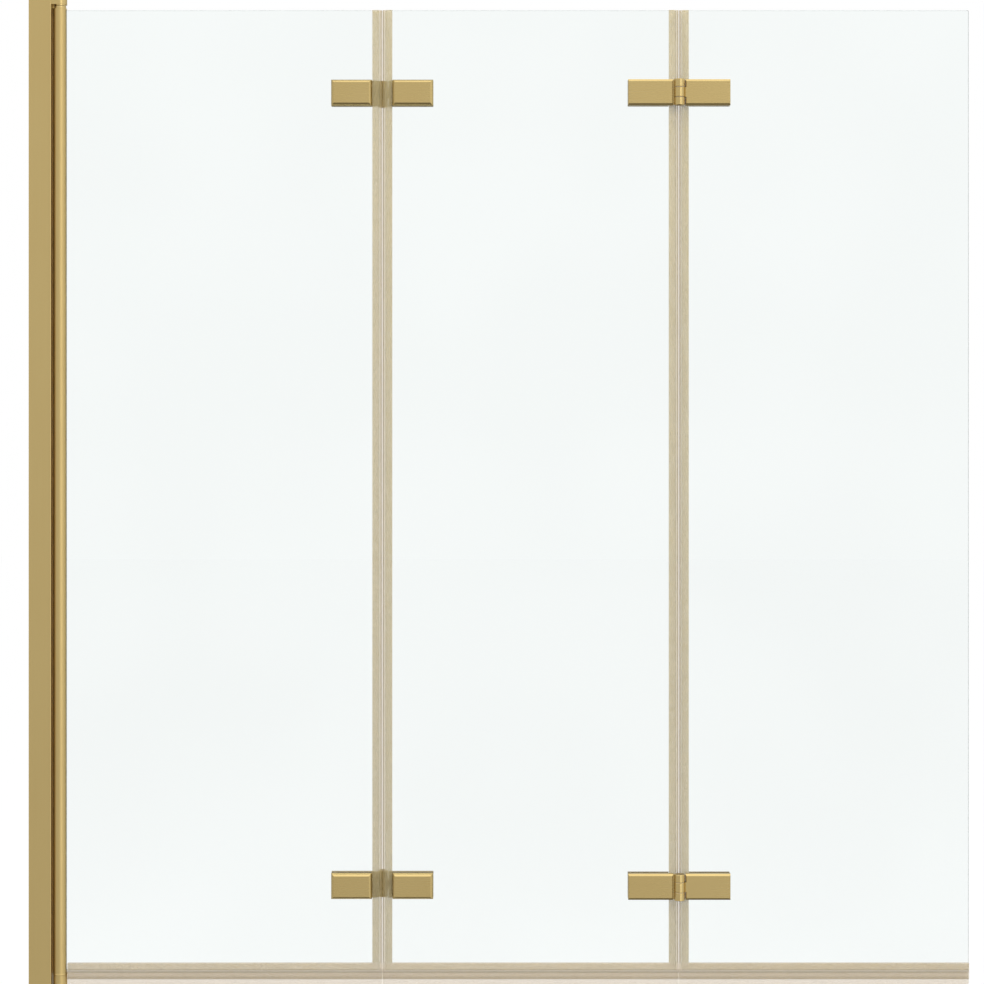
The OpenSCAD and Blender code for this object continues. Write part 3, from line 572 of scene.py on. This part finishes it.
@dataclass(frozen=True)
class Moulded:
    """Matt moulded plastic or rubber with a fine grain.

    Attributes:
        name: Name of the material.
        tone: Colour of the material.
        gloss: Roughness.
        grain: Grains per metre.
        CLOUDS: Clouds per metre along X, Y and Z.
        DEEP: Share of the tone where it is deepest.
        TONE_GRAINS: Share of the grains in the change of tone.
        GLOSS_SPREAD: Change of the roughness to either side.
        GRAIN_DEPTH: Depth of the grains in metres.
        RELIEF: How much of them shows.
    """

    name: str
    tone: Colour
    gloss: float
    grain: float = 1600.0

    CLOUDS: ClassVar[Point] = (30.0, 30.0, 30.0)
    DEEP: ClassVar[float] = 0.88
    TONE_GRAINS: ClassVar[float] = 0.3
    GLOSS_SPREAD: ClassVar[float] = 0.06
    GRAIN_DEPTH: ClassVar[float] = 0.00004
    RELIEF: ClassVar[float] = 0.3

    def build(self) -> bpy.types.Material:
        """Makes the material.

        Returns:
            The material.
        """
        material, g = new_material(self.name)
        grains = g.noise((self.grain,) * 3)
        clouds = g.noise(self.CLOUDS)
        shade = clouds.mixed(grains, self.TONE_GRAINS).ramp(*BAND)
        shiny, dull = self.gloss - self.GLOSS_SPREAD, self.gloss + self.GLOSS_SPREAD
        inputs = {
            "Base Color": g.mix(shade, darker(self.tone, self.DEEP), self.tone),
            "Roughness": grains.ramp(*WIDE_BAND, shiny, dull),
            "Normal": g.bump(grains, self.GRAIN_DEPTH, self.RELIEF),
        }
        g.show(g.node("ShaderNodeBsdfPrincipled", inputs))
        return material


GOLD: Colour = (0.600, 0.455, 0.195)
GOLD_DEEP: Colour = (0.575, 0.430, 0.180)
PROFILE_GOLD = SatinMetal("satin_gold_profile", GOLD, GOLD_DEEP, Run.ALONG_Z, 0.34)
TUBE_GOLD = SatinMetal("satin_gold_tube", GOLD, GOLD_DEEP, Run.ALONG_Z, 0.45)
HINGE_GOLD = SatinMetal(
    "satin_gold_hinge", GOLD, GOLD_DEEP, Run.ALONG_X, 0.26, line_depth=0.000005, line_share=0.1
)
CAST_GOLD = SatinMetal("satin_gold_bracket", GOLD, GOLD_DEEP, Run.ALONG_Y, 0.34)
# A lighter copy of the satin gold for the tube's top cap, which paints the brighter light at the top of
# the post.
CAP_GOLD_PAINTED_LIGHT = SatinMetal("satin_gold_cap_painted_light", (0.66, 0.505, 0.225), (0.63, 0.48, 0.21), Run.ALONG_X, 0.38)
STAINLESS = SatinMetal("stainless_steel", (0.62, 0.62, 0.61), (0.55, 0.55, 0.55), Run.ALONG_Z, 0.28)
BRASS = SatinMetal("polished_brass", (0.80, 0.63, 0.30), (0.76, 0.59, 0.27), Run.ALONG_Z, 0.22)
# The second tone of each PVC darkens thicker plastic and paints shade: between the seam bulbs, and on the
# rim seal's clip band and along its floor line.
SEAM_PVC = SoftPvc("seam_pvc", (0.69, 0.55, 0.275), (0.60, 0.46, 0.21), Run.ALONG_Z)
RIM_PVC = SoftPvc(
    "rim_pvc",
    (0.80, 0.64, 0.39),
    (0.40, 0.31, 0.16),
    Run.ALONG_X,
    thick_shaded=(31.8 * MM, 35.4 * MM),
    line=23.5 * MM,
    cover=0.30,
)
NYLON = Moulded("natural_nylon", (0.80, 0.78, 0.72), 0.45)
GOLD_RUBBER = Moulded("bronze_coloured_rubber", (0.60, 0.41, 0.16), 0.6)
PALE_RUBBER = Moulded("hinge_gasket_rubber", (0.62, 0.52, 0.36), 0.6)


# ---- Mesh helpers ----

WELD = 1e-6


def unique(items: Iterable[Any]) -> list[Any]:
    """The items once each, in their own order, so that every run gives the same mesh."""
    return list(dict.fromkeys(items))


def fix_order(mesh: bmesh.types.BMesh) -> None:
    """Sorts edges and faces by their vertices, because extruding adds them in an order that varies.

    Args:
        mesh: The bmesh to sort.
    """
    mesh.verts.index_update()
    for elements in (mesh.edges, mesh.faces):
        ranked = sorted(elements, key=lambda element: sorted(v.index for v in element.verts))
        ranks = {element: rank for rank, element in enumerate(ranked)}
        elements.sort(key=ranks.get)


def finish_mesh(name: str, mesh: bmesh.types.BMesh, smooth_angle: float = 35.0) -> bpy.types.Object:
    """Turns a bmesh into an object at the origin.

    Args:
        name: Name of the piece.
        mesh: Its bmesh, freed here.
        smooth_angle: Edges flatter than this many degrees are smooth.

    Returns:
        The new object.
    """
    bmesh.ops.remove_doubles(mesh, verts=mesh.verts, dist=WELD)
    bmesh.ops.recalc_face_normals(mesh, faces=mesh.faces)
    for face in mesh.faces:
        face.smooth = True
    limit = math.radians(smooth_angle)
    for edge in mesh.edges:
        edge.smooth = len(edge.link_faces) == 2 and edge.calc_face_angle(0.0) < limit
    fix_order(mesh)
    data = bpy.data.meshes.new(name)
    mesh.to_mesh(data)
    mesh.free()
    piece = bpy.data.objects.new(name, data)
    bpy.context.scene.collection.objects.link(piece)
    return piece


def dress(piece: bpy.types.Object, material: bpy.types.Material) -> None:
    """Gives a piece one material.

    Args:
        piece: The piece.
        material: Its material.
    """
    slots = piece.data.materials
    if not slots:
        slots.append(material)
    for i in range(len(slots)):
        slots[i] = material


def dress_nodes(names: Sequence[str], finish: Finish) -> None:
    """Gives CAD nodes one finish.

    Args:
        names: The nodes.
        finish: Their finish.
    """
    material = finish.build()
    for name in names:
        dress(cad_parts[name], material)
    LOG.info("%s on %s", material.name, ", ".join(names))


# ---- Sub-assemblies ----


@dataclass
class CrossHeadScrews:
    """Countersunk screws with a cross recess, which hold the end plates on the wall profile.

    Attributes:
        head_r: Radius of the head.
        shank_r: Radius of the shank and of the thread's crests.
        arm: Half length of the cross recess.
        arm_w: Half width of its arms.
        recess: Depth of the recess.
        recess_floor: Size of the recess's floor, as a share of its mouth.
        turn: Turn of the recess in radians, to which a screw's place adds a little.
        neck_l: Length of the plain neck under the head's cone.
        pitch: Pitch of the thread.
        root: Radius between the crests, as a share of the shank's.
        point_l: Length of the point.
        point: Radius of the point's end, as a share of the shank's.
        sides: Sides of the round parts.
        smooth_angle: Edges flatter than this many degrees are smooth.
    """

    head_r: float = 3.5 * MM
    shank_r: float = 1.68 * MM
    arm: float = 2.1 * MM
    arm_w: float = 0.45 * MM
    recess: float = 1.5 * MM
    recess_floor: float = 0.62
    turn: float = 0.3
    neck_l: float = 1.0 * MM
    pitch: float = 1.2 * MM
    root: float = 0.82
    point_l: float = 1.5 * MM
    point: float = 0.3
    sides: int = 48
    smooth_angle: float = 30.0

    def _screw(self, mesh: bmesh.types.BMesh, length: float) -> list[bmesh.types.BMVert]:
        """Adds one screw that points up, with its head's face at z = 0.

        Args:
            mesh: The bmesh that takes it.
            length: Length of the screw.

        Returns:
            The screw's vertices.
        """
        known = set(mesh.verts)
        rim = bmesh.ops.create_circle(mesh, radius=self.head_r, segments=self.sides)["verts"]
        rim_edges = unique(e for v in rim for e in v.link_edges)
        arms = self._cross(mesh)
        outline = [e for f in arms for e in f.edges if len(e.link_faces) == 1]
        bmesh.ops.triangle_fill(mesh, use_beauty=True, edges=rim_edges + outline)
        floor = bmesh.ops.extrude_face_region(mesh, geom=arms)["geom"]
        bmesh.ops.delete(mesh, geom=arms, context="FACES_ONLY")
        low = [v for v in floor if isinstance(v, bmesh.types.BMVert)]
        bmesh.ops.translate(mesh, verts=low, vec=(0.0, 0.0, self.recess))
        bmesh.ops.scale(mesh, verts=low, vec=(self.recess_floor, self.recess_floor, 1.0))
        self._shank(mesh, rim_edges, length)
        return [v for v in mesh.verts if v not in known]

    def _cross(self, mesh: bmesh.types.BMesh) -> list[bmesh.types.BMFace]:
        """Adds a flat cross, which is a grid of 3 x 3 faces without its corners.

        Args:
            mesh: The bmesh that takes it.

        Returns:
            The cross's faces.
        """
        grid = bmesh.ops.create_grid(mesh, x_segments=3, y_segments=3, size=self.arm)["verts"]
        for vert in grid:
            for axis in (0, 1):
                if abs(vert.co[axis]) < self.arm / 2:
                    vert.co[axis] = math.copysign(self.arm_w, vert.co[axis])
        corners = [
            f
            for f in unique(f for v in grid for f in v.link_faces)
            if min(abs(f.calc_center_median().x), abs(f.calc_center_median().y)) > self.arm_w
        ]
        bmesh.ops.delete(mesh, geom=corners, context="FACES")
        return unique(f for v in grid if v.is_valid for f in v.link_faces)

    def _shank(self, mesh: bmesh.types.BMesh, edges: list[bmesh.types.BMEdge], length: float) -> None:
        """Extrudes the cone, the shank and its thread crests from the head's rim.

        Args:
            mesh: The bmesh that holds the rim.
            edges: The rim's edges.
            length: Length of the screw.
        """
        cone = self.head_r - self.shank_r
        at = cone + self.neck_l
        rings = [(cone, self.shank_r), (at, self.shank_r)]
        while at + self.pitch < length - self.point_l:
            rings += [(at + self.pitch / 2, self.shank_r * self.root), (at + self.pitch, self.shank_r)]
            at += self.pitch
        rings.append((length, self.shank_r * self.point))
        radius = self.head_r
        level = 0.0
        for depth, r in rings:
            made = bmesh.ops.extrude_edge_only(mesh, edges=edges)["geom"]
            verts = [v for v in made if isinstance(v, bmesh.types.BMVert)]
            edges = [e for e in made if isinstance(e, bmesh.types.BMEdge)]
            bmesh.ops.translate(mesh, verts=verts, vec=(0.0, 0.0, depth - level))
            bmesh.ops.scale(mesh, verts=verts, vec=(r / radius, r / radius, 1.0))
            radius, level = r, depth
        bmesh.ops.edgeloop_fill(mesh, edges=edges)

    def build(
        self, places: Sequence[Pair], bottom: float, top: float, length: float
    ) -> bpy.types.Object:
        """Builds the screws at both ends.

        Args:
            places: X and Y of each pair of screws.
            bottom: Height of the lower end plate's face.
            top: Height of the upper end plate's face.
            length: Length of the screws.

        Returns:
            The piece.
        """
        mesh = bmesh.new()
        for x, y in places:
            own_turn = Matrix.Rotation(self.turn + x + y, 3, "Z")
            for level, flip in ((bottom, 0.0), (top, math.pi)):
                verts = self._screw(mesh, length)
                for matrix in (Matrix.Rotation(flip, 3, "X"), own_turn):
                    bmesh.ops.rotate(mesh, verts=verts, cent=(0, 0, 0), matrix=matrix)
                bmesh.ops.translate(mesh, verts=verts, vec=(x, y, level))
        return finish_mesh("end_plate_screws", mesh, self.smooth_angle)


@dataclass
class WallPost:
    """Wall channel, wall profile, brackets, bushes, wiper and their screws.

    Attributes:
        screws: The screws in the end plates.
        screw_length: Their length.
    """

    screws: CrossHeadScrews = field(default_factory=CrossHeadScrews)
    screw_length: float = 18.0 * MM

    def build(self) -> None:
        """Builds the screws and dresses the post."""
        low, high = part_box("bracket_screws")
        inset = self.screws.head_r
        places = tuple((low.x + inset, y) for y in (low.y + inset, high.y - inset))
        piece = self.screws.build(places, low.z, high.z, self.screw_length)
        dress(piece, STAINLESS.build())
        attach(piece, "root")
        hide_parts("bracket_screws")
        dress_nodes(("wall_channel", "carrier_profile"), PROFILE_GOLD)
        dress_nodes(("top_bracket", "bottom_bracket", "side_screw_caps"), CAST_GOLD)
        dress_nodes(("side_screws",), STAINLESS)
        dress_nodes(("top_bush", "bottom_bush"), BRASS)
        dress_nodes(("pivot_wiper",), GOLD_RUBBER)


@dataclass
class PivotPost:
    """Round tube that carries the first panel, with its caps, pins and glazing gasket.

    Attributes:
        tube: The tube and the beaded cap in its lower end.
        pins: The pins in its caps.
    """

    tube: tuple[str, ...] = ("pivot_tube", "tube_bottom_cap")
    pins: tuple[str, ...] = ("top_pivot_pin", "bottom_pivot_pin")

    def build(self) -> None:
        """Dresses the tube and what is in it."""
        dress_nodes(self.tube, TUBE_GOLD)
        # The cap's lighter gold paints the brighter light at the top of the post.
        dress_nodes(("tube_top_cap",), CAP_GOLD_PAINTED_LIGHT)
        dress_nodes(self.pins, STAINLESS)
        dress_nodes(("tube_gasket",), SEAM_PVC)


@dataclass
class Panels:
    """The three glass panels and their seals.

    Attributes:
        sheets: The glass nodes.
        left_seals: The seals on the left of each seam.
        right_seals: The seals on its right.
        rim_seals: The seals along the lower edges.
        seam_play: Gap from the middle of a seam to the soft bulbs.
    """

    sheets: tuple[str, ...] = ("glass_1", "glass_2", "glass_3")
    left_seals: tuple[str, ...] = ("seam_1_left_seal", "seam_2_left_seal")
    right_seals: tuple[str, ...] = ("seam_1_right_seal", "seam_2_right_seal")
    rim_seals: tuple[str, ...] = ("bottom_seal_1", "bottom_seal_2", "bottom_seal_3")
    seam_play: float = 0.2 * MM

    def build(self) -> None:
        """Dresses the glass and the seals."""
        for name in self.sheets:
            low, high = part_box(name)
            middle = (low + high) / 2
            half = (high - low) / 2
            dress_nodes((name,), ClearGlass(f"clear_{name}", (middle.x, middle.z), (half.x, half.z)))
        # Places of the seams, where the seals' tone is darker for the bulbs and for the painted shade
        # between them.
        seams = tuple(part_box(name)[1].x + self.seam_play for name in self.left_seals)
        dress_nodes(self.left_seals + self.right_seals, replace(SEAM_PVC, seams=seams))
        dress_nodes(self.rim_seals, RIM_PVC)


@dataclass
class FoldHinges:
    """The four glass-to-glass hinges.

    Attributes:
        seams: Numbers of the seams.
        panels: Numbers of the panels.
        levels: Names of the levels.
        sides: Names of the sides of a seam.
    """

    seams: tuple[int, ...] = (1, 2)
    panels: tuple[int, ...] = (1, 2, 3)
    levels: tuple[str, ...] = ("top", "bottom")
    sides: tuple[str, ...] = ("left", "right")

    def build(self) -> None:
        """Dresses the leaves, covers, pins and what they clamp."""
        names = [f"seam_{seam}_{level}" for seam in self.seams for level in self.levels]
        halves = [f"{name}_{side}" for name in names for side in self.sides]
        dress_nodes([f"{half}_{part}" for half in halves for part in ("leaf", "cover")], HINGE_GOLD)
        clamps = [f"panel_{n}_clamp_{part}" for n in self.panels for part in ("plates", "screws")]
        dress_nodes([f"{name}_pin" for name in names] + clamps, STAINLESS)
        dress_nodes([f"seam_{seam}_washers" for seam in self.seams], NYLON)
        dress_nodes([f"panel_{n}_hinge_gaskets" for n in self.panels], PALE_RUBBER)


# ---- Studio and camera ----

WHITE = (1.0, 1.0, 1.0, 1.0)


@dataclass(frozen=True)
class Floor:
    """Pale floor, which is white to the eye and keeps the shadow.

    Attributes:
        middle: X and Y of its middle.
        height: Its height, under the rim.
        half: Half of its side.
        specks: Specks per metre along X, Y and Z.
        greys: The levels between which the specks change.
        white: Level of its white share, which makes it white to the eye with its matt share.
        white_share: The white share, where the camera looks directly or through glass.
    """

    middle: Pair = (0.65, 0.0)
    height: float = -0.55
    half: float = 14.0
    specks: Point = (40.0, 40.0, 40.0)
    greys: Pair = (0.80, 0.83)
    white: float = 1.08
    white_share: float = 0.86

    def build(self) -> None:
        """Builds the floor."""
        mesh = bmesh.new()
        bmesh.ops.create_grid(mesh, x_segments=1, y_segments=1, size=self.half)
        bmesh.ops.translate(mesh, verts=mesh.verts, vec=(*self.middle, self.height))
        floor = finish_mesh("floor", mesh)
        material, g = new_material("pale_floor")
        speck = g.noise(self.specks).ramp(*WIDE_BAND)
        dark, light = ((grey,) * 3 for grey in self.greys)
        matt = g.node("ShaderNodeBsdfDiffuse", {"Color": g.mix(speck, dark, light)})
        white = g.node("ShaderNodeEmission", {"Color": WHITE, "Strength": self.white})
        g.show(g.blend(g.seen() * self.white_share, matt, white))
        dress(floor, material)
        floor.visible_glossy = False


@dataclass(frozen=True)
class Room:
    """The world: white to the eye and through glass, a soft studio in metal, pale elsewhere.

    A direction is given by the parts of a unit vector: across to the right, deep away from the
    viewer and up. Each ramp below names the part that it depends on.

    Attributes:
        ambient: Strength of the light from all round on matt surfaces.
        level: Level of the walls that show in metal.
        foot: By up, what the walls lose towards their foot.
        ground: By up, what they lose besides towards the ground.
        front: By deep, 1 on the viewer's side and 0 behind the glass.
        behind: By deep, the share of the walls' level that is left behind the glass.
        behind_ground: By up, the share that is lost there towards the ground.
        soft_box: By up, a soft light overhead on the viewer's side.
        strip_x: Across, the middle of a tall strip light.
        strip_half: Half of the strip's width.
        strip_level: Level of the strip above the walls.
        strip_rise: By up, the share of that level from the strip's foot to its head.
        strip_ends: By the size of up, the share that is left at the strip's ends.
        strip_front: By deep, 1 on the viewer's side and 0 beside and behind the glass.
        side: By across, a pale wall at the right, above the other walls.
    """

    ambient: float = 0.62
    level: float = 0.84
    foot: Ramp = (-0.4, 0.2, -0.17, 0.0)
    ground: Ramp = (-0.95, -0.5, -0.45, 0.0)
    front: Ramp = (0.05, 0.4, 1.0, 0.0)
    behind: Ramp = (0.0, 0.4, 1.0, 0.74)
    behind_ground: Ramp = (-0.75, -0.2, 0.8, 0.0)
    soft_box: Ramp = (0.3, 0.85, 0.0, 0.8)
    strip_x: float = 0.44
    strip_half: float = 0.15
    strip_level: float = 1.2
    strip_rise: Ramp = (-0.3, 0.12, 0.88, 1.18)
    strip_ends: Ramp = (0.5, 0.7, 1.0, 0.0)
    strip_front: Ramp = (-0.5, -0.2, 1.0, 0.0)
    side: Ramp = (0.55, 0.9, 0.0, 0.22)

    def build(self) -> None:
        """Builds the world."""
        world = bpy.data.worlds.new("studio")
        bpy.context.scene.world = world
        world.use_nodes = True
        g = Graph(world.node_tree)
        seen = g.seen()
        mirrored = g.ray("Is Glossy Ray")
        unseen = mirrored * self._mirrored(g) + (1.0 - mirrored) * self.ambient
        inputs = {"Color": WHITE, "Strength": seen + (1.0 - seen) * unseen}
        g.show(g.node("ShaderNodeBackground", inputs), "ShaderNodeOutputWorld")

    def _mirrored(self, g: Graph) -> Signal:
        """The studio that shows in metal.

        Args:
            g: The world's graph.

        Returns:
            Its level in each direction.
        """
        across, deep, up = g.parts("Generated")
        front = deep.ramp(*self.front)
        walls = up.ramp(*self.foot) + up.ramp(*self.ground) + self.level
        left = deep.ramp(*self.behind) * (1.0 - (1.0 - front) * up.ramp(*self.behind_ground))
        soft = self.strip_half / 2
        strip = (across - self.strip_x).size()
        strip = strip.ramp(self.strip_half - soft, self.strip_half + soft, self.strip_level, 0.0)
        strip = strip * up.ramp(*self.strip_rise) * up.size().ramp(*self.strip_ends)
        lights = up.ramp(*self.soft_box) * front + strip * deep.ramp(*self.strip_front)
        return walls * left + lights + across.ramp(*self.side)


@dataclass(frozen=True)
class Lamp:
    """Soft area lamp, which shows in no mirror, through no glass and not to the camera.

    Attributes:
        name: Name of the lamp.
        place: Where it hangs.
        target: What it points at.
        size: Its width and height.
        power: Its power in watts.
    """

    name: str
    place: Point
    target: Point
    size: Pair
    power: float

    def build(self) -> None:
        """Builds the lamp."""
        data = bpy.data.lights.new(self.name, "AREA")
        data.shape = "RECTANGLE"
        data.size, data.size_y = self.size
        data.energy = self.power
        lamp = bpy.data.objects.new(self.name, data)
        bpy.context.scene.collection.objects.link(lamp)
        lamp.visible_camera = False
        lamp.visible_transmission = False
        lamp.visible_glossy = False
        lamp.location = self.place
        aim = Vector(self.target) - Vector(self.place)
        lamp.rotation_euler = aim.to_track_quat("-Z", "Y").to_euler()


@dataclass(frozen=True)
class Camera:
    """Camera that stands level and square to the glass, with the picture moved on the film.

    Attributes:
        eye: X and Z of the camera.
        distance: Distance from the camera to the glass.
        centre: X and Z of the middle of the picture.
        width: Width of the picture at the glass.
        film: Width of the film in mm.
    """

    eye: Pair = (0.636, 0.85)
    distance: float = 3.0
    centre: Pair = (0.6398, 0.6969)
    width: float = 1.3633
    film: float = 36.0

    def build(self) -> None:
        """Builds the camera."""
        data = bpy.data.cameras.new("camera")
        data.sensor_width = self.film
        data.lens = self.film * self.distance / self.width
        data.shift_x = (self.centre[0] - self.eye[0]) / self.width
        data.shift_y = (self.centre[1] - self.eye[1]) / self.width
        data.dof.use_dof = False
        camera = bpy.data.objects.new("camera", data)
        bpy.context.scene.collection.objects.link(camera)
        camera.location = (self.eye[0], -self.distance, self.eye[1])
        camera.rotation_euler = (math.pi / 2, 0.0, 0.0)
        bpy.context.scene.camera = camera


LAMPS = (
    Lamp("key", (2.1, -2.4, 2.5), (0.65, 0.0, 0.8), (1.5, 1.5), 26.0),
    Lamp("top", (0.65, -0.75, 2.9), (0.65, 0.0, 0.7), (2.4, 0.8), 20.0),
    Lamp("rear", (-0.6, 2.4, 2.3), (0.65, 0.0, 0.7), (1.8, 1.5), 18.0),
)


@dataclass(frozen=True)
class Studio:
    """Pale floor, white background, soft lamps and the camera.

    Attributes:
        parts: What the studio is made of, in the order in which it is built.
    """

    parts: tuple[Floor | Room | Lamp | Camera, ...] = (Floor(), Room(), *LAMPS, Camera())

    def build(self) -> None:
        """Builds the parts."""
        for part in self.parts:
            part.build()


def main() -> None:
    """Builds and dresses every sub-assembly, then the studio."""
    logging.basicConfig(level=logging.INFO, format="%(message)s")
    bpy.context.scene.view_settings.view_transform = "Standard"
    for part in (WallPost(), PivotPost(), Panels(), FoldHinges(), Studio()):
        part.build()
        LOG.info("built %s", type(part).__name__)


if __name__ == "__main__":
    main()
